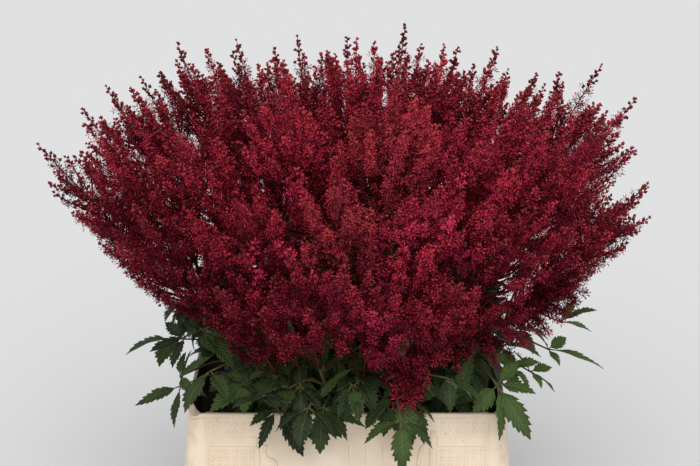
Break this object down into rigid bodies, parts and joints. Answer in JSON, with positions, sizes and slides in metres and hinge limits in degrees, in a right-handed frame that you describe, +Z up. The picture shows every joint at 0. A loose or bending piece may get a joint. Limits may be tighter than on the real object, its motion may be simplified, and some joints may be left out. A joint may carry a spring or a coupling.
{
  "type": "astilbe plant, cut leafy stems standing in a flower container",
  "caption": "Rectangular plastic flower container with water, holding a wide bouquet of astilbe: feathery tapering plumes on thin stems above toothed compound leaves.",
  "frame": {"origin": "centre of the container's flat underside", "axes": "+Z up; the front long side faces -Y; +X along the long side, to the right seen from the front"},
  "size_m": [0.7689, 0.601, 0.754],
  "materials": {
    "cream_plastic": "satin moulded plastic",
    "water": "clear water",
    "stem_green": "soft leaf, slightly glossy above",
    "plume_red": "matt feathery florets"
  },
  "bodies": {
    "root": {"container": "cream_plastic", "water": "water", "leafy_stems_01": "stem_green", "leafy_stems_02": "stem_green", "leafy_stems_03": "stem_green", "leafy_stems_04": "stem_green", "leafy_stems_05": "stem_green", "leafy_stems_06": "stem_green", "leafy_stems_07": "stem_green", "leafy_stems_08": "stem_green", "leafy_stems_09": "stem_green", "leafy_stems_10": "stem_green", "leafy_stems_11": "stem_green", "plume_01": "plume_red", "plume_02": "plume_red", "plume_03": "plume_red", "plume_04": "plume_red", "plume_05": "plume_red", "plume_06": "plume_red", "plume_07": "plume_red", "plume_08": "plume_red", "plume_09": "plume_red", "plume_10": "plume_red", "plume_11": "plume_red", "plume_12": "plume_red", "plume_13": "plume_red", "plume_14": "plume_red", "plume_15": "plume_red", "plume_16": "plume_red", "plume_17": "plume_red", "plume_18": "plume_red", "plume_19": "plume_red", "plume_20": "plume_red", "plume_21": "plume_red", "plume_22": "plume_red", "plume_23": "plume_red", "plume_24": "plume_red", "plume_25": "plume_red", "plume_26": "plume_red", "plume_27": "plume_red", "plume_28": "plume_red", "plume_29": "plume_red", "plume_30": "plume_red", "plume_31": "plume_red", "plume_32": "plume_red", "plume_33": "plume_red", "plume_34": "plume_red", "plume_35": "plume_red", "plume_36": "plume_red", "plume_37": "plume_red", "plume_38": "plume_red", "plume_39": "plume_red", "plume_40": "plume_red", "plume_41": "plume_red", "plume_42": "plume_red"}
  },
  "joints": []
}
